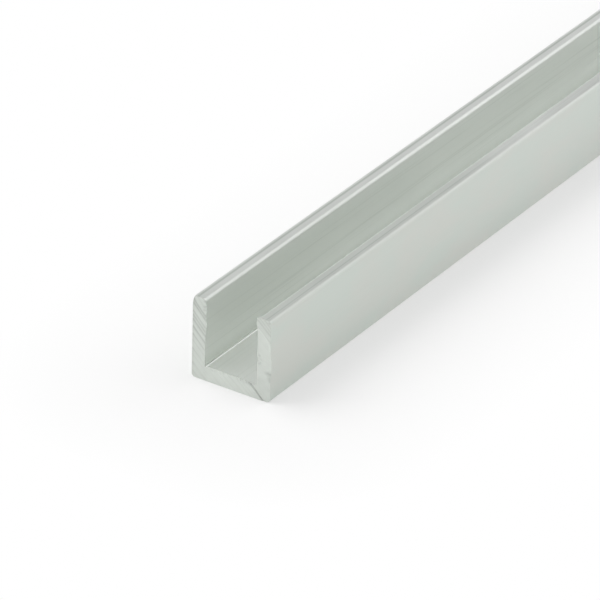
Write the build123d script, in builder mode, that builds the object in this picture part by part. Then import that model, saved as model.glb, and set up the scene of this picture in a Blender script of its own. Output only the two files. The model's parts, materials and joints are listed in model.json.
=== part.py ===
"""Aluminium U-channel: one extruded bar with a square outline and an open groove along its top.

The section lies in the XZ plane and the bar runs along Y. The origin is in the middle of the
web's underside, halfway along the bar, with Z up and the groove open at the top.
All sizes are in millimetres.
"""

import os

from build123d import *

# Outside sizes of the section and the length that the bar is sold in
width = 12.0
height = 12.0
length = 500.0

# Walls: the web lies underneath, and a leg stands along each of its sides
web_thickness = 2.0
leg_thickness = 2.0

# Edge radii that the extrusion die leaves along the bar
tip_radius = 0.5  # both edges of each leg's tip
heel_radius = 0.5  # outside corners under the legs
root_radius = 0.3  # inside corners where the legs meet the web

# The groove between the legs
groove_width = width - 2 * leg_thickness
groove_depth = height - web_thickness


with BuildPart() as channel:
    with BuildSketch(Plane.XZ) as section:
        Rectangle(width, height, align=(Align.CENTER, Align.MIN))
        with Locations((0, web_thickness)):
            Rectangle(groove_width, groove_depth, align=(Align.CENTER, Align.MIN), mode=Mode.SUBTRACT)

        # The sketch's own Y is the bar's Z: the heels are its lowest corners, the roots the next
        # row up, and the tips the highest. Each row is picked afresh, because a fillet redraws
        # the outline.
        fillet(section.vertices().group_by(Axis.Y)[1], root_radius)
        fillet(section.vertices().group_by(Axis.Y)[0], heel_radius)
        fillet(section.vertices().group_by(Axis.Y)[-1], tip_radius)
    extrude(amount=length / 2, both=True)

channel.part.label = "u_channel"

os.makedirs("parts", exist_ok=True)
export_step(channel.part, "parts/u_channel.step")

section_area = section.sketch.area
print(f"section {section_area:.2f} mm2, groove {groove_width:.1f} x {groove_depth:.1f} mm")
print(f"bar {length:.0f} mm long, {channel.part.volume / 1000:.2f} cm3")
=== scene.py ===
# %% [markdown]
# # A sawn length of aluminium channel
# This lesson dresses one bar of small U-channel, the kind that edges a panel or guides a sliding
# door. The bar was pushed through a die, so every long surface is straight and satin, and then it
# was sawn off, so its end is rough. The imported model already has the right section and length.
# What it lacks is the saw cut, smooth edge radii and the metal itself, and those are made here.

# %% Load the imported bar
import json
import math
import random

import bmesh
import bpy
from mathutils import Matrix, Vector, noise


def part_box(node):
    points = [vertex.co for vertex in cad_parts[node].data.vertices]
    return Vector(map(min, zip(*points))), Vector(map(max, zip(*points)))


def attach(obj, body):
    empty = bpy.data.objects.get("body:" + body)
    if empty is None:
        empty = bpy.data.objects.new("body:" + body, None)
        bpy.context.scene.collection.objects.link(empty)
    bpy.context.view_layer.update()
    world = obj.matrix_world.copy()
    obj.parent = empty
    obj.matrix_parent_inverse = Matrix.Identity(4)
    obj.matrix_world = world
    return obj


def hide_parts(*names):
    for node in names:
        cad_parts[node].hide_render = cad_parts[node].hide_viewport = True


MM = 0.001

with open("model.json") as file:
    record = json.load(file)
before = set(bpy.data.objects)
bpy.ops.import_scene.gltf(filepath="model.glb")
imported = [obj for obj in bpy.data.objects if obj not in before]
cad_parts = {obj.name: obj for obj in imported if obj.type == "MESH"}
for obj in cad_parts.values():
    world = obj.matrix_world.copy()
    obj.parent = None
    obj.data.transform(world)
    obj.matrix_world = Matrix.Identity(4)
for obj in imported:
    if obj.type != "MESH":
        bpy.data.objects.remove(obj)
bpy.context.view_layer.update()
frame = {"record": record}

# %% [markdown]
# ## Sizes
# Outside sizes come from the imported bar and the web's thickness from the mount on the groove's
# floor, so nothing here can drift away from the part. The leg and the radii can't be read off a
# box, so they are written down once, in millimetres.

# %% Sizes of the section
low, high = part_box("u_channel")
mounts = {mount["name"]: mount for mount in frame["record"]["mounts"]}
web_top = mounts["groove_floor"]["pos_m"][2]
leg = 2.0 * MM

tip_radius = 0.5 * MM
heel_radius = 0.5 * MM
root_radius = 0.3 * MM

groove_left = low.x + leg
groove_right = high.x - leg
groove_size = (groove_right - groove_left, high.z - web_top)
print("groove, width and depth, mm:", [round(side / MM, 2) for side in groove_size])

# %% [markdown]
# ## The section
# A die opening is a flat shape, so the bar starts as one flat face with eight corners. Each corner
# is then rounded by a vertex bevel, which trims it by the radius and fills in an arc. Many short
# steps are worth it here: the bright lines along the legs are nothing but these small rounds.

# %% Draw the section and round its corners
ARC_STEPS = 10
TINY = 0.001 * MM

outline = [
    (low.x, low.z),
    (high.x, low.z),
    (high.x, high.z),
    (groove_right, high.z),
    (groove_right, web_top),
    (groove_left, web_top),
    (groove_left, high.z),
    (low.x, high.z),
]
bar = bmesh.new()
bar.faces.new([bar.verts.new((x, low.y, z)) for x, z in outline])


def round_corners_at(level, radius):
    """Round every corner of the section that lies at one height."""
    corners = [vert for vert in bar.verts if abs(vert.co.z - level) < TINY]
    bmesh.ops.bevel(
        bar,
        geom=corners,
        offset=radius,
        offset_type="OFFSET",
        segments=ARC_STEPS,
        profile=0.5,
        affect="VERTICES",
        material=-1,
    )


round_corners_at(low.z, heel_radius)
round_corners_at(web_top, root_radius)
round_corners_at(high.z, tip_radius)
print("section has", len(bar.verts), "points")

# %% [markdown]
# The press pushes hot metal through that opening, and Blender's extrude does the same with the face.
# One long face for each straight and each arc step is enough, because nothing changes along the bar.

# %% Push the section along the bar
section = bar.faces[:][0]
pushed = bmesh.ops.extrude_face_region(bar, geom=[section])
far_verts = [item for item in pushed["geom"] if isinstance(item, bmesh.types.BMVert)]
bmesh.ops.translate(bar, vec=(0.0, high.y - low.y, 0.0), verts=far_verts)
bmesh.ops.recalc_face_normals(bar, faces=bar.faces[:])
print("pushed to", len(bar.faces), "faces")

# %% [markdown]
# ## The die line
# A scratch in the die leaves a low ridge along everything that it makes. One is plain to see inside
# the groove, halfway up the left leg: a light line over a dark one. It is far too low to measure,
# but it turns the light, so it is modelled: three cuts along the leg, and the middle one raised.

# %% Raise one die line inside the groove
DIE_LINE_LEVEL = 5.92 * MM
DIE_LINE_FLANK = 0.30 * MM
DIE_LINE_RISE = 0.020 * MM


def part_of_bar(chosen):
    """The chosen points of the bar, with the edges and faces that lie between them."""
    verts = [vert for vert in bar.verts if chosen(vert.co)]
    inside = set(verts)
    edges = [edge for edge in bar.edges if inside.issuperset(edge.verts)]
    faces = [face for face in bar.faces if inside.issuperset(face.verts)]
    return [*verts, *edges, *faces]


def on_inner_face(place):
    """Whether a place lies on the left leg's face that looks into the groove."""
    return abs(place.x - groove_left) < TINY


def slice_with(geometry, point, normal):
    """Cut the given part of the bar with a plane and keep both sides."""
    bmesh.ops.bisect_plane(bar, geom=geometry, dist=TINY, plane_co=point, plane_no=normal)


for cut_level in (DIE_LINE_LEVEL - DIE_LINE_FLANK, DIE_LINE_LEVEL, DIE_LINE_LEVEL + DIE_LINE_FLANK):
    slice_with(part_of_bar(on_inner_face), (0.0, 0.0, cut_level), (0.0, 0.0, 1.0))
crest = [
    vert
    for vert in bar.verts
    if abs(vert.co.z - DIE_LINE_LEVEL) < TINY and on_inner_face(vert.co)
]
bmesh.ops.translate(bar, vec=(DIE_LINE_RISE, 0.0, 0.0), verts=crest)
print("die line raised at", len(crest), "points")

# %% [markdown]
# ## The saw cut
# A circular saw leaves slanting tracks on the end, one for each tooth that stands a little proud.
# Painted tracks would vanish in a side light, so these are cut into the mesh. The first step is to
# give the two ends enough faces: many cuts along the tracks, fewer across them, and a short collar
# behind each end, so that the long faces stay single and flat.

# %% Slice the ends along the saw's tracks
COLLAR = 0.6 * MM
TRACK_STEP = 0.09 * MM
CROSS_STEP = 0.25 * MM
SAW_SLANT = math.radians(-40.0)

along_tracks = Vector((math.cos(SAW_SLANT), 0.0, math.sin(SAW_SLANT)))
across_tracks = Vector((-math.sin(SAW_SLANT), 0.0, math.cos(SAW_SLANT)))


def slice_end(end_y, direction, step):
    """Cut one end into strips of the given width, counted in one direction of the section."""
    reaches = [direction.dot(vert.co) for vert in bar.verts]
    count = int((max(reaches) - min(reaches)) / step)
    for number in range(1, count + 1):
        end_piece = part_of_bar(lambda place: abs(place.y - end_y) < COLLAR + TINY)
        slice_with(end_piece, direction * (min(reaches) + number * step), direction)


for collar_y in (low.y + COLLAR, high.y - COLLAR):
    whole_bar = [*bar.verts, *bar.edges, *bar.faces]
    slice_with(whole_bar, (0.0, collar_y, 0.0), (0.0, 1.0, 0.0))
for end_y in (low.y, high.y):
    slice_end(end_y, across_tracks, TRACK_STEP)
    slice_end(end_y, along_tracks, CROSS_STEP)
print("sliced to", len(bar.faces), "faces")

# %% [markdown]
# ## What the blade left behind
# The rest of the cut is told by small functions of a point on the end, in millimetres across and
# up. Most are products of soft steps. A pair of values then gives the place where a step is 0 and
# the place where it is 1, so that a mark reads like a sentence: right of this, below that.

# %% Edges of the cut in millimetres, and a soft step
OUTER_LEFT = low.x / MM
LEFT_RIM = groove_left / MM
RIGHT_RIM = groove_right / MM
FLOOR_RIM = web_top / MM
TOP = high.z / MM
TIP_ROUND = tip_radius / MM


def ease(value, start, stop):
    """Go smoothly from 0 at start to 1 at stop."""
    share = min(1.0, max(0.0, (value - start) / (stop - start)))
    return share * share * (3.0 - 2.0 * share)


print("groove's rims on the cut, mm:", [round(rim, 2) for rim in (LEFT_RIM, RIGHT_RIM, FLOOR_RIM)])

# %% [markdown]
# Saw tracks follow the blade's own wide arc. They could be drawn one by one, but a saw doesn't place
# them with care, so they come from a fixed draw, picked because its deep tracks fall where the real
# ones do.

# %% Saw tracks from a fixed draw
BLADE_RADIUS = 80.0
TRACK_PITCH = 0.62
PITCH_SPREAD = (0.55, 1.45)
TRACK_DEPTHS = (0.012, 0.045)
TRACK_HALF_WIDTHS = (0.10, 0.24)


def draw_tracks(seed):
    """Place, depth and half width of each track across one end, in millimetres."""
    dice = random.Random(seed)
    place = across_tracks.dot(Vector((low.x, 0.0, low.z))) / MM
    last = across_tracks.dot(Vector((high.x, 0.0, high.z))) / MM
    tracks = []
    while place < last:
        tracks.append((place, dice.uniform(*TRACK_DEPTHS), dice.uniform(*TRACK_HALF_WIDTHS)))
        place += TRACK_PITCH * dice.uniform(*PITCH_SPREAD)
    return tracks


def track_depth(tracks, x, z):
    """Depth of the saw tracks at one point of the end, in millimetres."""
    across = across_tracks.dot((x, 0.0, z))
    along = along_tracks.dot((x, 0.0, z))
    on_arc = across - along * along / (2.0 * BLADE_RADIUS)
    return sum(depth * max(0.0, 1.0 - abs(on_arc - place) / half) for place, depth, half in tracks)


near_tracks = draw_tracks(seed=3068)
far_tracks = draw_tracks(seed=9)
print("tracks on the near and the far end:", len(near_tracks), len(far_tracks))

# %% [markdown]
# The blade came through at the right heel last. Just before, the last corner gave way: a dark
# crease starts along the groove's floor, bends over and runs down to the heel at 45 degrees. Its
# distance function is two lines joined by an arc, which is all that a bent line needs.

# %% The crease at the heel
CREASE_START = 2.45
CREASE_ONSET = (CREASE_START - 0.35, CREASE_START + 0.25)
CREASE_LEVEL = FLOOR_RIM - 0.1
CREASE_BEND = 0.9
CREASE_HALF_WIDTH = 0.13

bend_x = CREASE_START + 0.3
bend_z = CREASE_LEVEL - CREASE_BEND


def past_crease(x, z):
    """Distance from the crease in millimetres, above zero on the right leg's side."""
    if x <= bend_x:
        return z - CREASE_LEVEL
    if x - bend_x >= z - bend_z:
        return (x - bend_x + z - bend_z) * math.sqrt(0.5) - CREASE_BEND
    return math.hypot(x - bend_x, z - bend_z) - CREASE_BEND


def crease(x, z):
    """How deep in the crease a point is, from 0 outside it to 1 on its line."""
    started = ease(x, *CREASE_ONSET)
    return started * max(0.0, 1.0 - abs(past_crease(x, z)) / CREASE_HALF_WIDTH)


crease_end = bend_x + bend_z + CREASE_BEND * math.sqrt(2.0)
print("crease meets the underside at, mm:", round(crease_end, 2))

# %% [markdown]
# On the right leg the cut has a smooth, bright patch below an arc, where the metal was pressed and
# not cut. Above it, at the leg's tip, the tracks are clear. A circle is enough for the arc, and the
# patch is what lies on the leg, under the circle and above the foot.

# %% The bright patch on the right leg
RIGHT_LEG_EDGE = (RIGHT_RIM - 0.5, RIGHT_RIM + 0.1)
LEFT_LEG_EDGE = (LEFT_RIM + 0.6, LEFT_RIM - 0.1)
PATCH_MIDDLE = Vector((1.9, 0.0, 6.6))
PATCH_RADIUS = 4.35
PATCH_FOOT = 3.4
PATCH_FOOT_EDGE = (PATCH_FOOT - 0.5, PATCH_FOOT + 0.3)
OUTSIDE_ARC = -0.08
INSIDE_ARC = 0.06


def right_leg(x):
    """1 on the right leg and 0 on the web."""
    return ease(x, *RIGHT_LEG_EDGE)


def left_leg(x):
    """1 on the left leg and 0 on the web."""
    return ease(x, *LEFT_LEG_EDGE)


def under_arc(x, z):
    """Distance below the arc that ends the bright patch, in millimetres."""
    if z < PATCH_MIDDLE.z:
        return PATCH_RADIUS
    return PATCH_RADIUS - (Vector((x, 0.0, z)) - PATCH_MIDDLE).length


def bright_patch(x, z):
    """1 inside the bright patch and 0 outside it."""
    above_foot = ease(z, *PATCH_FOOT_EDGE)
    return right_leg(x) * above_foot * ease(under_arc(x, z), OUTSIDE_ARC, INSIDE_ARC)


print("patch reaches up to, mm:", round(PATCH_MIDDLE.z + PATCH_RADIUS, 2))

# %% [markdown]
# The patch's outer edge is rolled back a little, and it is chipped at the foot. Both only need a
# place on the leg, and the chip's lower side is a slope.

# %% Rolled edge and chip
ROLL_BACK = 0.30
ROLL_ACROSS = (4.6, 6.0)
ROLL_TOP = (7.8, 5.8)
ROLL_FOOT = (3.9, 4.5)
CHIP_ACROSS = (5.6, 5.75)
CHIP_TOP = (4.35, 4.15)
CHIP_SLOPE = 2.3
CHIP_SLOPE_START = 5.7
CHIP_FOOT = (3.4, 3.7)


def rolled_edge(x, z):
    """How far the patch's outer edge is rolled back, in millimetres."""
    return ROLL_BACK * ease(x, *ROLL_ACROSS) * ease(z, *ROLL_TOP) * ease(z, *ROLL_FOOT)


def chip(x, z):
    """1 in the chip on the outer edge, just under the patch."""
    above_slope = ease(z + CHIP_SLOPE * (x - CHIP_SLOPE_START), *CHIP_FOOT)
    return ease(x, *CHIP_ACROSS) * ease(z, *CHIP_TOP) * above_slope


print("edge rolled back on the outside, mm:", round(rolled_edge(high.x / MM, 5.0), 3))

# %% [markdown]
# Small dark nicks sit along the rims, where teeth tore the edge. They are noise that is only let
# through near the groove. One nick at the right leg's tip is long enough to be given on its own.

# %% Nicks on the rims
# The nicks are real dents in the rim; their darkness is painted shade, taken off the tone further on.
NICK_LENGTH = 0.30
NICK_SEED = 5.3
NICK_ONSET = (0.15, 0.45)
LEFT_NICKS_REACH = (0.45, 0.15)
LEFT_NICKS_START = (8.6, 9.4)
RIGHT_NICKS_ACROSS = (5.0, 4.4)
RIGHT_NICKS_LEVEL = 6.0
RIGHT_NICKS_REACH = (1.3, 0.7)
FLOOR_NICKS_REACH = (0.35, 0.10)
FLOOR_NICKS_ACROSS = (3.4, 2.8)
TIP_NICK_X = 5.6
TIP_NICK_Z = 11.62
TIP_NICK_SLOPE = 0.2
TIP_NICK_LENGTH = (0.32, 0.15)
TIP_NICK_WIDTH = (0.12, 0.03)


def rough(x, z, length, seed):
    """Noise from about -1 to 1 that changes over the given length, in millimetres."""
    return noise.noise(Vector((x / length, seed, z / length)))


def nicks(x, z):
    """1 in a nick on the groove's rim and 0 elsewhere."""
    on_left = ease(abs(x - LEFT_RIM), *LEFT_NICKS_REACH) * ease(z, *LEFT_NICKS_START)
    right_height = ease(abs(z - RIGHT_NICKS_LEVEL), *RIGHT_NICKS_REACH)
    on_right = ease(x, *RIGHT_NICKS_ACROSS) * right_leg(x) * right_height
    on_floor = ease(abs(z - FLOOR_RIM), *FLOOR_NICKS_REACH) * ease(abs(x), *FLOOR_NICKS_ACROSS)
    on_rim = max(on_left, on_right, on_floor)
    return on_rim * ease(rough(x, z, NICK_LENGTH, NICK_SEED), *NICK_ONSET)


def tip_nick(x, z):
    """1 in the one long nick at the right leg's tip."""
    off_line = abs(z - TIP_NICK_Z - TIP_NICK_SLOPE * (x - TIP_NICK_X))
    return ease(abs(x - TIP_NICK_X), *TIP_NICK_LENGTH) * ease(off_line, *TIP_NICK_WIDTH)


print("long nick, deepest share:", round(tip_nick(TIP_NICK_X, TIP_NICK_Z), 2))

# %% [markdown]
# These marks now add up to two things for each point of the cut: how deep it lies, and how bright it
# is. The saw cut each zone in its own way, so a track is clear on the left leg and faint on the web,
# and the corner past the crease has slipped back as a whole.

# %% Depth of the near end
CREASE_DEPTH = 0.16
NICK_DEPTH = 0.05
CHIP_DEPTH = 0.15
SLIP_DEPTH = 0.08
SLIP_PAST_CREASE = (0.0, 0.25)
SLIP_ACROSS = (2.0, 2.6)
SLIP_TOP = (3.4, 2.4)
LEFT_FOOT_CLEARNESS = 0.3
LEFT_CLEARING = (2.0, 7.5)
TIP_CLEARNESS = 0.6
WEB_CLEARNESS = 0.2


def zones(x, z):
    """Shares of the left leg, the web and the right leg's patch, tip and foot at one point."""
    left = left_leg(x)
    right = right_leg(x)
    web = max(0.0, 1.0 - left - right)
    patch = bright_patch(x, z)
    tip = right * ease(under_arc(x, z), INSIDE_ARC, OUTSIDE_ARC)
    foot = max(0.0, right - patch - tip)
    return left, web, patch, tip, foot


def near_tracks_depth(x, z):
    """Depth of the saw tracks on the near end, as clear as each zone has them."""
    left, web, _, tip, _ = zones(x, z)
    up_left_leg = LEFT_FOOT_CLEARNESS + (1.0 - LEFT_FOOT_CLEARNESS) * ease(z, *LEFT_CLEARING)
    clearness = left * up_left_leg + TIP_CLEARNESS * tip + WEB_CLEARNESS * web
    return clearness * track_depth(near_tracks, x, z)


def near_depth(x, z):
    """Depth of a point of the near end behind the flat cut, in millimetres."""
    past = ease(past_crease(x, z), *SLIP_PAST_CREASE)
    slipped = past * ease(x, *SLIP_ACROSS) * ease(z, *SLIP_TOP)
    depth = near_tracks_depth(x, z) + CREASE_DEPTH * crease(x, z) + SLIP_DEPTH * slipped
    depth += NICK_DEPTH * max(nicks(x, z), tip_nick(x, z))
    depth += rolled_edge(x, z) + CHIP_DEPTH * chip(x, z)
    return depth


print("depth where the crease bends, mm:", round(near_depth(bend_x, CREASE_LEVEL), 3))

# %% [markdown]
# The tone is for the finish. Each zone starts from a tone of its own, soft blotches vary it, and a
# thin painted highlight runs along the arc. Painted shade darkens the tracks, the crease, the nicks
# and the chip, and the left leg's outer rim, where the edge turns away.

# %% Tone of the near end
LEFT_TONE = 0.45
WEB_TONE = 0.66
PATCH_TONE = 0.52
TIP_TONE = 0.34
FOOT_TONE = 0.34
# A painted highlight runs along the arc.
ARC_HIGHLIGHT_TONE = 0.30
ARC_HIGHLIGHT_PLACE = 0.05
ARC_HIGHLIGHT_REACH = (0.16, 0.04)
BLOTCH_LENGTH = 1.1
BLOTCH_TONE = 0.15
NEAR_BLOTCH_SEED = 1.7
# Painted shade, taken off the tone in the tracks, the crease, the nicks, the chip and along the left
# rim.
TRACK_SHADE = 1.3
CREASE_SHADE = 1.3
NICK_SHADE = 0.7
CHIP_SHADE = 0.5
RIM_SHADE = 0.30
RIM_SHADE_REACH = (OUTER_LEFT + 0.45, OUTER_LEFT + 0.05)


def near_tone_and_light(x, z):
    """Tone of a point of the near end, painted shade and highlight included, from -1, dark, to 1,
    bright.
    """
    left, web, patch, tip, foot = zones(x, z)
    tone = LEFT_TONE * left + WEB_TONE * web + PATCH_TONE * patch + TIP_TONE * tip + FOOT_TONE * foot
    # A thin painted highlight along the arc.
    off_arc = abs(under_arc(x, z) - ARC_HIGHLIGHT_PLACE)
    tone += ARC_HIGHLIGHT_TONE * right_leg(x) * ease(off_arc, *ARC_HIGHLIGHT_REACH)
    tone += BLOTCH_TONE * rough(x, z, BLOTCH_LENGTH, NEAR_BLOTCH_SEED)
    # Painted shade in the tracks, the crease, the nicks, the chip and along the left rim.
    shade = TRACK_SHADE * near_tracks_depth(x, z) / max(TRACK_DEPTHS) + CREASE_SHADE * crease(x, z)
    shade += NICK_SHADE * max(nicks(x, z), tip_nick(x, z))
    shade += CHIP_SHADE * chip(x, z)
    shade += RIM_SHADE * ease(x, *RIM_SHADE_REACH)
    return max(-1.0, min(1.0, tone - shade))


print("tone in the middle of the web:", round(near_tone_and_light(0.0, 1.0), 3))

# %% [markdown]
# The far end is out of sight in the picture. It gets a plain cut from the same saw, with faint
# tracks all over.

# %% Depth and tone of the far end
FAR_CLEARNESS = 0.5
FAR_TONE = 0.4
FAR_BLOTCH_SEED = 8.9


def far_depth(x, z):
    """Depth of a point of the far end behind the flat cut, in millimetres."""
    return FAR_CLEARNESS * track_depth(far_tracks, x, z)


def far_tone_and_shade(x, z):
    """Tone of a point of the far end, painted shade in its tracks included, from -1, dark, to 1,
    bright.
    """
    blotches = BLOTCH_TONE * rough(x, z, BLOTCH_LENGTH, FAR_BLOTCH_SEED)
    return FAR_TONE + blotches - TRACK_SHADE * far_depth(x, z) / max(TRACK_DEPTHS)


print("far end's tone in the middle of the web:", round(far_tone_and_shade(0.0, 1.0), 3))

# %% [markdown]
# ## Rim of the near end
# A saw also leaves a ragged lip on the edges where its teeth come out, here around the groove. The
# right leg's inner corner has a burr that squares it up, and the left leg's outer corner is
# knocked round. All three only move points of the end, and behind the collar the section is true.

# %% Burr and worn corner
ON_EDGE = 0.002
BURR_FOOT = 10.0
BURR_START = (10.2, 10.9)
BURR_WIDTH = 0.20
BURR_SQUARE = 0.8
WORN_WIDTH = 0.45
WORN_HEIGHT = 1.6


def burr(x, z):
    """Move of a point on the right leg's inner corner, across and up, in millimetres."""
    out = RIGHT_RIM + TIP_ROUND - x
    up = max(0.0, z - TOP + TIP_ROUND)
    off_corner = z <= BURR_FOOT or out <= 0.0
    if off_corner or abs(math.hypot(out, up) - TIP_ROUND) > ON_EDGE:
        return 0.0, 0.0
    square = BURR_SQUARE * (TIP_ROUND / max(out, up) - 1.0)
    sideways = BURR_WIDTH * ease(z, *BURR_START) * out / TIP_ROUND
    return -square * out - sideways, square * up


def worn_corner(z):
    """How far the left leg's outer corner is worn in at one height, past its own radius."""
    rise = min(1.0, max(0.0, 1.0 - (TOP - z) / WORN_HEIGHT))
    worn = WORN_WIDTH * (1.0 - math.sqrt(1.0 - rise * rise))
    into_round = min(TIP_ROUND, max(0.0, z - TOP + TIP_ROUND))
    return max(0.0, worn - TIP_ROUND + math.sqrt(TIP_ROUND * TIP_ROUND - into_round * into_round))


print("outer corner worn in halfway up its round, mm:", round(worn_corner(TOP - 0.5 * TIP_ROUND), 3))

# %% Lip around the groove, and all moves of the rim
LIP_HEIGHT = 0.20
LIP_LEAST = 0.25
LIP_LENGTH = 0.55
FINE_LIP_LENGTH = 0.4 * LIP_LENGTH
FINE_LIP_SHARE = 0.5
LEFT_LIP_SEED = 3.7
LEFT_LIP_SHARE = 0.6
LEFT_LIP_START = (6.0, 8.0)
LEFT_LIP_STOP = (11.45, 11.0)
FLOOR_LIP_SEED = 9.1
FLOOR_LIP_START = (-3.65, -3.4)
FLOOR_LIP_STOP = (3.0, 2.3)
WORN_ACROSS = (OUTER_LEFT + 1.1, OUTER_LEFT + 0.1)


def lip(place, seed):
    """Height of the ragged lip at a place along the rim, in millimetres."""
    rag = rough(place, 0.0, LIP_LENGTH, seed)
    rag += FINE_LIP_SHARE * rough(place, 0.0, FINE_LIP_LENGTH, seed)
    return LIP_HEIGHT * max(LIP_LEAST, 1.0 + rag)


def near_rim(x, z):
    """Move of a point of the near end, across and up, in millimetres."""
    move_x, move_z = burr(x, z)
    move_x += worn_corner(z) * ease(x, *WORN_ACROSS)
    if abs(x - LEFT_RIM) < ON_EDGE:
        ragged = LEFT_LIP_SHARE * lip(z, LEFT_LIP_SEED)
        move_x += ragged * ease(z, *LEFT_LIP_START) * ease(z, *LEFT_LIP_STOP)
    if abs(z - FLOOR_RIM) < ON_EDGE:
        ragged = lip(x, FLOOR_LIP_SEED)
        move_z += ragged * ease(x, *FLOOR_LIP_START) * ease(x, *FLOOR_LIP_STOP)
    return move_x, move_z


def far_rim(x, z):
    """The far end's rim is left as it was cut."""
    return 0.0, 0.0


print("lip in the middle of the web, mm:", round(lip(0.0, FLOOR_LIP_SEED), 3))

# %% [markdown]
# Now the points of both ends move. Their tone, painted shade and highlight included, goes along as an
# attribute on the mesh, so that the finish can read it later, and the sawn faces are marked for a
# finish of their own. The mill finish has slot 0, which every face starts with.

# %% Press the relief into both ends
SAWN_SLOT = 1

tone_and_light_layer = bar.verts.layers.float.new("cut_tone")


def press(end_y, inwards, depth_at, tone_and_light_at, rim_at):
    """Move the end's points by its relief and its rim, and keep their tone, painted shade and
    highlight included, for the finish.
    """
    deepest = 0.0
    for vert in bar.verts:
        if abs(vert.co.y - end_y) < TINY:
            x, z = vert.co.x / MM, vert.co.z / MM
            depth = depth_at(x, z)
            move_x, move_z = rim_at(x, z)
            vert.co += Vector((move_x, inwards * depth, move_z)) * MM
            vert[tone_and_light_layer] = tone_and_light_at(x, z)
            deepest = max(deepest, depth)
    return deepest


for end_y in (low.y, high.y):
    for face in bar.faces:
        if all(abs(vert.co.y - end_y) < TINY for vert in face.verts):
            face.material_index = SAWN_SLOT
near_deepest = press(low.y, 1.0, near_depth, near_tone_and_light, near_rim)
far_deepest = press(high.y, -1.0, far_depth, far_tone_and_shade, far_rim)
print("deepest points of the near and far end, mm:", round(near_deepest, 3), round(far_deepest, 3))

# %% [markdown]
# ## Shading
# The long faces and the arcs shade as one smooth skin, while the rim of each sawn end stays a hard
# edge. A weighted normal lets the wide faces win at the seams, so the flats stay truly flat and
# only the narrow arcs turn the light.

# %% Make the bar an object
for face in bar.faces:
    face.smooth = True
for edge in bar.edges:
    slots = {face.material_index for face in edge.link_faces}
    edge.smooth = len(slots) == 1

bar_mesh = bpy.data.meshes.new("channel_bar")
bar.to_mesh(bar_mesh)
bar.free()
channel = bpy.data.objects.new("channel_bar", bar_mesh)
bpy.context.scene.collection.objects.link(channel)
weighted = channel.modifiers.new("flat faces win", "WEIGHTED_NORMAL")
weighted.mode = "FACE_AREA"
weighted.weight = 50
weighted.keep_sharp = True
print("bar:", len(bar_mesh.vertices), "points", len(bar_mesh.polygons), "faces")

# %% [markdown]
# ## Finishes
# Every finish is a small node tree. One helper turns a colour from the way a paint chart gives it
# into light, and one adds a node, sets its sockets and links it. A socket that is given another node
# is linked to the first output that this node has in use.


# %% Helpers for finishes
def linear(chart_colour):
    """An sRGB hex colour as the linear colour that the renderer works in."""
    parts = [int(chart_colour[place : place + 2], 16) / 255.0 for place in (1, 3, 5)]
    light = [part / 12.92 if part <= 0.04045 else ((part + 0.055) / 1.055) ** 2.4 for part in parts]
    return (*light, 1.0)


def add_node(tree, kind, sockets, **settings):
    """Add one node: its settings, and for each socket a value, a hex colour, a node or its output."""
    made = tree.nodes.new(kind)
    for name, value in settings.items():
        setattr(made, name, value)
    for name, value in sockets.items():
        if isinstance(value, bpy.types.Node):
            value = next(output for output in value.outputs if output.enabled)
        if isinstance(value, bpy.types.NodeSocket):
            tree.links.new(value, made.inputs[name])
        else:
            made.inputs[name].default_value = linear(value) if isinstance(value, str) else value
    return made


def new_finish(name):
    """An empty material and its node tree."""
    material = bpy.data.materials.new(name)
    material.use_nodes = True
    material.node_tree.nodes.clear()
    return material, material.node_tree


print("mid grey of a chart in linear light:", round(linear("#808080")[0], 3))

# %% [markdown]
# ## Mill finish
# Aluminium straight from the die is bright and satin, with a trace of green. It gives back nine
# tenths of the light or a little more, and that matters in a groove: what is seen there has been
# mirrored three or four times, and a darker metal would turn the groove black. Hands and the die
# itself change it in places, and painted shade darkens it in others. Those could be painted on an
# image, but masks worked out from Object coordinates stay sharp: each goes from 0 to 1 between two
# places on the section or along the bar, and where a mark needs more than one mask, they are
# multiplied.

# %% Masks for places on the bar
# The two reaches below are for painted shade: in the foot of each leg, and towards each sawn end.
ROOT_SHADE_REACH = 3.0 * MM
END_SHADE_REACH = 65.0 * MM
TIP_WEAR_REACH = 46.0 * MM
TIP_WEAR_FADE = 12.0 * MM

mill, tree = new_finish("mill_finish_aluminium")
place = add_node(tree, "ShaderNodeTexCoord", {}).outputs["Object"]
parts = add_node(tree, "ShaderNodeSeparateXYZ", {"Vector": place}).outputs
across, height = parts["X"], parts["Z"]
sideways = add_node(tree, "ShaderNodeMath", {0: across}, operation="ABSOLUTE")
endwards = add_node(tree, "ShaderNodeMath", {0: parts["Y"]}, operation="ABSOLUTE")

# What is measured, the place where the mask is 0 and the place where it is 1
mask_places = {
    "beside": (sideways, high.x - 0.6 * tip_radius, high.x - 0.1 * tip_radius),
    "below": (height, low.z + 0.8 * heel_radius, low.z + 0.1 * heel_radius),
    "leg": (sideways, groove_right - 0.05 * root_radius, groove_right - 0.01 * root_radius),
    "leg foot": (height, web_top + ROOT_SHADE_REACH, web_top + root_radius),
    "root across": (sideways, groove_right - 0.75 * root_radius, groove_right - 0.60 * root_radius),
    "root up": (height, web_top + 0.95 * root_radius, web_top + 0.85 * root_radius),
    "right half": (across, 0.0, groove_right),
    "tip": (height, high.z - 0.6 * tip_radius, high.z - 0.1 * tip_radius),
    "short of outer round": (sideways, high.x - 0.4 * tip_radius, high.x - 0.6 * tip_radius),
    "tip rounds": (height, high.z - tip_radius, high.z - 0.8 * tip_radius),
    "inner round": (sideways, groove_right + tip_radius, groove_right + 0.7 * tip_radius),
    "end": (endwards, high.y - END_SHADE_REACH, high.y),
    "far from end": (endwards, high.y - TIP_WEAR_REACH, high.y - TIP_WEAR_REACH - TIP_WEAR_FADE),
}
mask = {}
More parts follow.
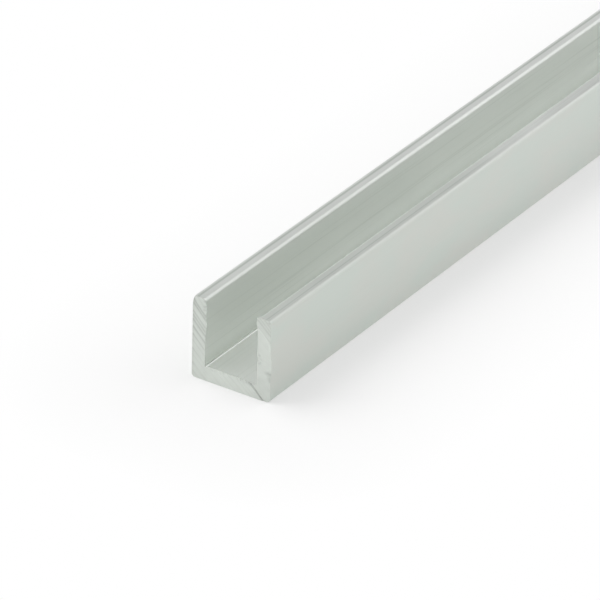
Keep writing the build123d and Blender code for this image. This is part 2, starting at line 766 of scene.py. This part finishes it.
for name, (measured, zero, one) in mask_places.items():
    sockets = {"Value": measured, "From Min": zero, "From Max": one}
    mask[name] = add_node(tree, "ShaderNodeMapRange", sockets)
either = {0: mask["beside"], 1: mask["below"]}
mask["outside"] = add_node(tree, "ShaderNodeMath", either, operation="MAXIMUM")
mask["inside"] = add_node(tree, "ShaderNodeMath", {0: 1.0, 1: mask["outside"]}, operation="SUBTRACT")
print("masks:", ", ".join(mask))

# %% Masks where a mark needs more than one
overlaps = {
    # Painted shade in the foot of each leg inside the groove.
    "stained foot": ("leg", "leg foot", "inside"),
    "polished root": ("root across", "root up", "inside"),
    "rubbed flat": ("right half", "short of outer round"),
    "fading half": ("right half", "far from end"),
    # Painted shade on the right tip's inner round.
    "rubbed round": ("right half", "tip rounds", "inner round"),
}
for name, (first, *others) in overlaps.items():
    mask[name] = mask[first]
    for other in others:
        both = {0: mask[name], 1: mask[other]}
        mask[name] = add_node(tree, "ShaderNodeMath", both, operation="MULTIPLY")
print("overlaps:", ", ".join(overlaps))

# %% [markdown]
# The fresh metal is nearly even, with soft clouds that the press leaves, each a few millimetres wide
# and drawn out along the bar. Painted shade makes it a faint grey that grows towards the sawn ends,
# and in the foot of each leg inside the groove.

# %% Fresh metal and its painted shade
CLOUD_WIDTH = 6.0 * MM
CLOUD_RUN = 16.0 * MM
END_SHADE = 0.48


def streaks(tree, place, sizes):
    """Noise stretched to the given sizes along X, Y and Z, in metres."""
    scale = tuple(1.0 / size for size in sizes)
    stretched = add_node(tree, "ShaderNodeMapping", {"Vector": place, "Scale": scale})
    sockets = {"Vector": stretched, "Scale": 1.0, "Detail": 3.0, "Roughness": 0.6}
    return add_node(tree, "ShaderNodeTexNoise", sockets)


clouds = streaks(tree, place, (CLOUD_WIDTH, CLOUD_RUN, CLOUD_WIDTH))
tints = {"Factor": clouds, "A": "#F6F9F6", "B": "#FAFCF9"}
from_die = add_node(tree, "ShaderNodeMix", tints, data_type="RGBA")
# Painted shade that grows towards the sawn ends and in the foot of each leg.
end_shade = add_node(tree, "ShaderNodeMath", {0: mask["end"], 1: END_SHADE}, operation="MULTIPLY")
either = {0: end_shade, 1: mask["stained foot"]}
end_and_foot_shade = add_node(tree, "ShaderNodeMath", either, operation="MAXIMUM")
tints = {"Factor": end_and_foot_shade, "A": from_die, "B": "#E6EAE5"}
fresh = add_node(tree, "ShaderNodeMix", tints, data_type="RGBA")
print("clouds are", round(CLOUD_WIDTH / MM, 1), "mm wide")

# %% [markdown]
# The outer sides and the underside are darker than the groove. Partly they have been handled and
# stacked, so they are duller, and partly it is painted shade, which keeps them greyer than the white
# floor that they mirror would make them. Their clouds go from a cooler to a warmer grey, which is
# what thin oxide and finger marks look like.

# %% Handled and shaded outer sides
# Partly wear and partly painted shade: the outer sides are made darker than the groove.
DULLNESS_AND_SHADE = 0.62
COOL_CLOUD = 0.4
WARM_CLOUD = 0.6

warmth_sockets = {"Value": clouds, "From Min": COOL_CLOUD, "From Max": WARM_CLOUD}
warmth = add_node(tree, "ShaderNodeMapRange", warmth_sockets)
tints = {"Factor": warmth, "A": "#C3CCC4", "B": "#C9CCC5"}
dull_and_shaded = add_node(tree, "ShaderNodeMix", tints, data_type="RGBA")
dullness_and_shade = add_node(tree, "ShaderNodeMath", {0: mask["outside"], 1: DULLNESS_AND_SHADE}, operation="MULTIPLY")
tints = {"Factor": dullness_and_shade, "A": fresh, "B": dull_and_shaded}
handled_and_shaded = add_node(tree, "ShaderNodeMix", tints, data_type="RGBA")
print("outer sides are", DULLNESS_AND_SHADE, "of the way to dull")

# %% [markdown]
# The die rubs fine lines along the bar. They are clearest in the groove, where its tongue was, and
# handling has blurred them outside. The same noise gives them a darker colour and a tiny height.

# %% Fine lines along the bar
# Real die lines are a few hundredths of a millimetre wide, too fine for the render, so these are
# drawn about ten times as wide.
RUB_WIDTH = 0.35 * MM
RUB_RUN = 40.0 * MM
RUB_HEIGHT = 0.003 * MM
RUB_START = 0.55
RUB_FULL = 0.75
RUB_STRENGTH = 0.5
OUTSIDE_RUBS = 0.3

rubs = streaks(tree, place, (RUB_WIDTH, RUB_RUN, RUB_WIDTH))
clearness = add_node(
    tree,
    "ShaderNodeMapRange",
    {"Value": mask["outside"], "To Min": 1.0, "To Max": OUTSIDE_RUBS},
)
rub = add_node(
    tree,
    "ShaderNodeMapRange",
    {"Value": rubs, "From Min": RUB_START, "From Max": RUB_FULL, "To Max": RUB_STRENGTH},
)
rubbed = add_node(tree, "ShaderNodeMath", {0: clearness, 1: rub}, operation="MULTIPLY")
tints = {"Factor": rubbed, "A": handled_and_shaded, "B": "#E2E6E1"}
lined = add_node(tree, "ShaderNodeMix", tints, data_type="RGBA")
print("fine lines are", round(RUB_WIDTH / MM, 2), "mm wide")

# %% [markdown]
# The legs' tips are what a bar slides on when it is pulled from a stack. Each has one dull line along
# its flat, and the right one is rubbed over its whole flat. The right tip's inner round is darker
# too, and that is painted shade, which tones down the left lamp that it mirrors. Away from the sawn
# ends the wear on the right flat fades.

# %% Worn tips of the legs, with painted shade on the right inner round
TIP_LINE = 5.22 * MM
TIP_LINE_WIDTH = 0.25 * MM
TIP_LINE_CORE = 0.2 * TIP_LINE_WIDTH
TIP_LINE_WEAR = 0.5
FLAT_WEAR = 0.25
# The darkening of the right inner round is painted shade.
ROUND_SHADE = 0.26
FADED_SHARE = 0.7

off_line = add_node(tree, "ShaderNodeMath", {0: sideways, 1: TIP_LINE}, operation="SUBTRACT")
from_line = add_node(tree, "ShaderNodeMath", {0: off_line}, operation="ABSOLUTE")
line = add_node(
    tree,
    "ShaderNodeMapRange",
    {
        "Value": from_line,
        "From Min": TIP_LINE_CORE,
        "From Max": TIP_LINE_WIDTH,
        "To Min": TIP_LINE_WEAR,
        "To Max": 0.0,
    },
)
flat = add_node(tree, "ShaderNodeMath", {0: mask["rubbed flat"], 1: FLAT_WEAR}, operation="MULTIPLY")
marks = add_node(tree, "ShaderNodeMath", {0: line, 1: flat}, operation="MAXIMUM")
fading = {0: mask["fading half"], 1: -FADED_SHARE, 2: 1.0}
kept = add_node(tree, "ShaderNodeMath", fading, operation="MULTIPLY_ADD")
kept_on_tip = add_node(tree, "ShaderNodeMath", {0: mask["tip"], 1: kept}, operation="MULTIPLY")
flat_wear = add_node(tree, "ShaderNodeMath", {0: kept_on_tip, 1: marks}, operation="MULTIPLY")
# Painted shade that tones down the left lamp mirrored in the right inner round.
round_shading = {0: mask["rubbed round"], 1: ROUND_SHADE}
round_shade = add_node(tree, "ShaderNodeMath", round_shading, operation="MULTIPLY")
tip_wear_and_shade = add_node(tree, "ShaderNodeMath", {0: flat_wear, 1: round_shade}, operation="MAXIMUM")
tints = {"Factor": tip_wear_and_shade, "A": lined, "B": "#BDC6BC"}
skin_colour = add_node(tree, "ShaderNodeMix", tints, data_type="RGBA")
print("wear on the right tip fades", round(TIP_WEAR_REACH / MM), "mm from each end")

# %% [markdown]
# What the eye gets from all this is a satin skin: wide, soft highlights along the bar and no clear
# mirror image. Only a narrow line in each root is polished, where the metal turned the tightest
# corner of the die, and it catches a bright, thin light. So the roughness is a little over a half,
# a touch uneven with the clouds, and far less in the roots.

# %% Mill-finish aluminium
SATIN_FROM = 0.3
SATIN_TO = 0.7
LEAST_SATIN = 0.52
MOST_SATIN = 0.58
POLISH = 0.40

satin = add_node(
    tree,
    "ShaderNodeMapRange",
    {
        "Value": clouds,
        "From Min": SATIN_FROM,
        "From Max": SATIN_TO,
        "To Min": LEAST_SATIN,
        "To Max": MOST_SATIN,
    },
)
polishing = {0: mask["polished root"], 1: -POLISH, 2: satin}
skin_roughness = add_node(tree, "ShaderNodeMath", polishing, operation="MULTIPLY_ADD")
scratch = add_node(
    tree,
    "ShaderNodeBump",
    {"Height": rubs, "Strength": clearness, "Distance": RUB_HEIGHT},
)
metal = add_node(
    tree,
    "ShaderNodeBsdfPrincipled",
    {
        "Base Color": skin_colour,
        "Metallic": 1.0,
        "Roughness": skin_roughness,
        "Normal": scratch,
    },
)
add_node(tree, "ShaderNodeOutputMaterial", {"Surface": metal})
print(mill.name, "has", len(tree.nodes), "nodes")

# %% [markdown]
# ## Sawn finish
# A saw cut scatters more light than the skin that the die leaves, so it is a little darker. The
# bottom of each track is darker still, and that is painted shade. The tone, painted shade and
# highlight included, was kept on the mesh while the tracks were pressed in, so light and shape agree.
# Finer hairs between the tracks are noise, turned to lie along them. To the eye it is a dull, grainy
# grey that sparkles along the tracks.

# %% Sawn aluminium
# Real hairs are finer than the render can show, so these are drawn as coarse as they need to be.
HAIR_WIDTH = 0.14 * MM
HAIR_RUN = 2.5 * MM
HAIR_ALONG_BAR = 1000.0 * MM
HAIR_HEIGHT = 0.005 * MM
HAIR_SHARE = 0.18
SAWN_ROUGHNESS = 0.55

sawn, tree = new_finish("sawn_aluminium")
place = add_node(tree, "ShaderNodeTexCoord", {}).outputs["Object"]
turn = {"Vector": place, "Rotation": (0.0, SAW_SLANT, 0.0)}
turned = add_node(tree, "ShaderNodeMapping", turn)
hairs = streaks(tree, turned, (HAIR_RUN, HAIR_ALONG_BAR, HAIR_WIDTH))
# The tone on the mesh carries the cut's painted shade and painted highlight.
cut_tone = add_node(tree, "ShaderNodeAttribute", {}, attribute_name="cut_tone").outputs["Fac"]
tone = add_node(tree, "ShaderNodeMapRange", {"Value": cut_tone, "From Min": -1.0, "From Max": 1.0})
brightness = add_node(tree, "ShaderNodeMix", {"Factor": HAIR_SHARE, "A": tone, "B": hairs})
tints = {"Factor": brightness, "A": "#B2B7B1", "B": "#E8EDE7"}
cut_colour = add_node(tree, "ShaderNodeMix", tints, data_type="RGBA")
scratch = add_node(
    tree,
    "ShaderNodeBump",
    {"Height": hairs, "Strength": 1.0, "Distance": HAIR_HEIGHT},
)
metal = add_node(
    tree,
    "ShaderNodeBsdfPrincipled",
    {
        "Base Color": cut_colour,
        "Metallic": 1.0,
        "Roughness": SAWN_ROUGHNESS,
        "Normal": scratch,
    },
)
add_node(tree, "ShaderNodeOutputMaterial", {"Surface": metal})
print(sawn.name, "has", len(tree.nodes), "nodes")

# %% [markdown]
# The finished bar takes the imported bar's place. It rides on the one body of the imported model.

# %% Dress the bar and let it stand for the imported one
channel.data.materials.append(mill)
channel.data.materials.append(sawn)
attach(channel, "root")
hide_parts("u_channel")
print("channel rides on root")

# %% [markdown]
# ## Studio
# The bar lies on a white floor, and its satin sides mirror that floor, so the floor's light is what
# models them. Within a few centimetres of the bar the floor keeps a soft shade. Beyond that it is
# pure white, for the camera and in reflections alike, as the paper of a product picture is.

# %% White paper
WHITE_REACH = 26.0 * MM
CLOSE_WHITE = 0.4

paper, tree = new_finish("white_studio_floor")
matt = add_node(
    tree,
    "ShaderNodeBsdfPrincipled",
    {"Base Color": "#FAFAFA", "Roughness": 0.9, "Specular IOR Level": 0.1},
)
white = add_node(tree, "ShaderNodeEmission", {"Color": "#FFFFFF", "Strength": 1.0})
place = add_node(tree, "ShaderNodeTexCoord", {}).outputs["Object"]
mirrored = add_node(tree, "ShaderNodeVectorMath", {0: place}, operation="ABSOLUTE")
bar_edge = {0: mirrored, 1: (high.x, high.y, 0.0)}
past_edge = add_node(tree, "ShaderNodeVectorMath", bar_edge, operation="SUBTRACT")
not_under = {0: past_edge, 1: (0.0, 0.0, 0.0)}
outwards = add_node(tree, "ShaderNodeVectorMath", not_under, operation="MAXIMUM")
from_bar = add_node(tree, "ShaderNodeVectorMath", {0: outwards}, operation="LENGTH")
fade = add_node(
    tree,
    "ShaderNodeMapRange",
    {"Value": from_bar, "From Max": WHITE_REACH, "To Min": CLOSE_WHITE},
)
rays = add_node(tree, "ShaderNodeLightPath", {}).outputs
seen = rays["Is Camera Ray"]
for ray in ("Is Glossy Ray", "Is Transmission Ray"):
    seen = add_node(tree, "ShaderNodeMath", {0: seen, 1: rays[ray]}, operation="MAXIMUM")
whiteness = add_node(tree, "ShaderNodeMath", {0: seen, 1: fade}, operation="MULTIPLY")
paper_mix = add_node(tree, "ShaderNodeMixShader", {0: whiteness, 1: matt, 2: white})
add_node(tree, "ShaderNodeOutputMaterial", {"Surface": paper_mix})
print("floor is pure white", round(WHITE_REACH / MM), "mm from the bar")

# %% Floor
FLOOR_REACH = 30.0

floor_shape = bmesh.new()
bmesh.ops.create_grid(
    floor_shape,
    x_segments=1,
    y_segments=1,
    size=FLOOR_REACH,
    matrix=Matrix.Translation((0.0, 0.0, low.z)),
)
floor_mesh = bpy.data.meshes.new("floor")
floor_shape.to_mesh(floor_mesh)
floor_shape.free()
floor = bpy.data.objects.new("floor", floor_mesh)
floor.data.materials.append(paper)
bpy.context.scene.collection.objects.link(floor)
print("floor lies at", round(low.z / MM, 3), "mm")

# %% [markdown]
# The sky is as white as the paper at the horizon, so the two meet without a line, and dim above, so
# that the lamps can model the bar.

# %% Sky
SKY_LIGHT = 0.25
HORIZON_LIGHT = 1.0
GLOW_START = math.sin(math.radians(6.0))
GLOW_STOP = math.sin(math.radians(16.0))

world = bpy.data.worlds.new("pale_sky")
bpy.context.scene.world = world
world.use_nodes = True
tree = world.node_tree
tree.nodes.clear()
direction = add_node(tree, "ShaderNodeTexCoord", {}).outputs["Generated"]
rise = add_node(tree, "ShaderNodeSeparateXYZ", {"Vector": direction}).outputs["Z"]
glow = add_node(
    tree,
    "ShaderNodeMapRange",
    {
        "Value": rise,
        "From Min": GLOW_START,
        "From Max": GLOW_STOP,
        "To Min": HORIZON_LIGHT,
        "To Max": SKY_LIGHT,
    },
)
sky = add_node(tree, "ShaderNodeBackground", {"Color": "#FFFFFF", "Strength": glow})
add_node(tree, "ShaderNodeOutputWorld", {"Surface": sky})
print("sky strength from", HORIZON_LIGHT, "at the horizon to", SKY_LIGHT)

# %% [markdown]
# The main light comes from the left, which leaves the floor on the right in a soft shade and keeps
# the near sides grey. Two weaker ones stand behind and on the right. All are wide squares, because
# a small lamp would draw a hard streak along every round edge.

# %% Soft boxes around the bar
BOX_DISTANCE = 2.4
BOX_WIDTH = 2.2
bar_middle = Vector((0.0, 0.0, 0.5 * high.z))


def towards(azimuth, elevation):
    """Direction out from the bar: azimuth 0 is in front of the near end and 90 on its right."""
    turn, rise = math.radians(azimuth), math.radians(elevation)
    return Vector((math.sin(turn) * math.cos(rise), -math.cos(turn) * math.cos(rise), math.sin(rise)))


def soft_box(name, azimuth, elevation, power):
    """A wide square lamp that points at the bar and stays out of the picture."""
    lamp = bpy.data.lights.new(name, "AREA")
    lamp.energy = power
    lamp.size = BOX_WIDTH
    holder = bpy.data.objects.new(name, lamp)
    holder.location = bar_middle + towards(azimuth, elevation) * BOX_DISTANCE
    holder.rotation_euler = towards(azimuth, elevation).to_track_quat("Z", "Y").to_euler()
    holder.visible_camera = False
    bpy.context.scene.collection.objects.link(holder)


soft_box("left_soft_box", azimuth=290.0, elevation=50.0, power=42.0)
soft_box("back_right_soft_box", azimuth=147.0, elevation=30.0, power=10.5)
soft_box("right_soft_box", azimuth=90.0, elevation=60.0, power=13.5)
print("three soft boxes stand", BOX_DISTANCE, "m away")

# %% [markdown]
# ## Camera
# The long edges of a bar show exactly how it was photographed: how fast they come together gives
# the lens, and their slopes give the height and the side that it was seen from.

# %% Camera
LENS = 325.4
SENSOR_WIDTH = 36.0
DISTANCE = 681.8 * MM
AZIMUTH = 32.62
ELEVATION = 29.48
ROLL = math.radians(1.57)
AIM_ACROSS = 10.22 * MM
AIM_HEIGHT = 16.59 * MM

aim = Vector((AIM_ACROSS, low.y, AIM_HEIGHT))
back = towards(AZIMUTH, ELEVATION)
eye = bpy.data.cameras.new("product_camera")
eye.lens = LENS
eye.sensor_width = SENSOR_WIDTH
camera = bpy.data.objects.new("product_camera", eye)
camera.location = aim + back * DISTANCE
upright = (-back).to_track_quat("-Z", "Y").to_matrix().to_4x4()
camera.rotation_euler = (upright @ Matrix.Rotation(ROLL, 4, "Z")).to_euler()
bpy.context.scene.collection.objects.link(camera)
bpy.context.scene.camera = camera
bpy.context.scene.view_settings.view_transform = "Standard"
print("camera at, mm:", [round(part / MM, 1) for part in camera.location])
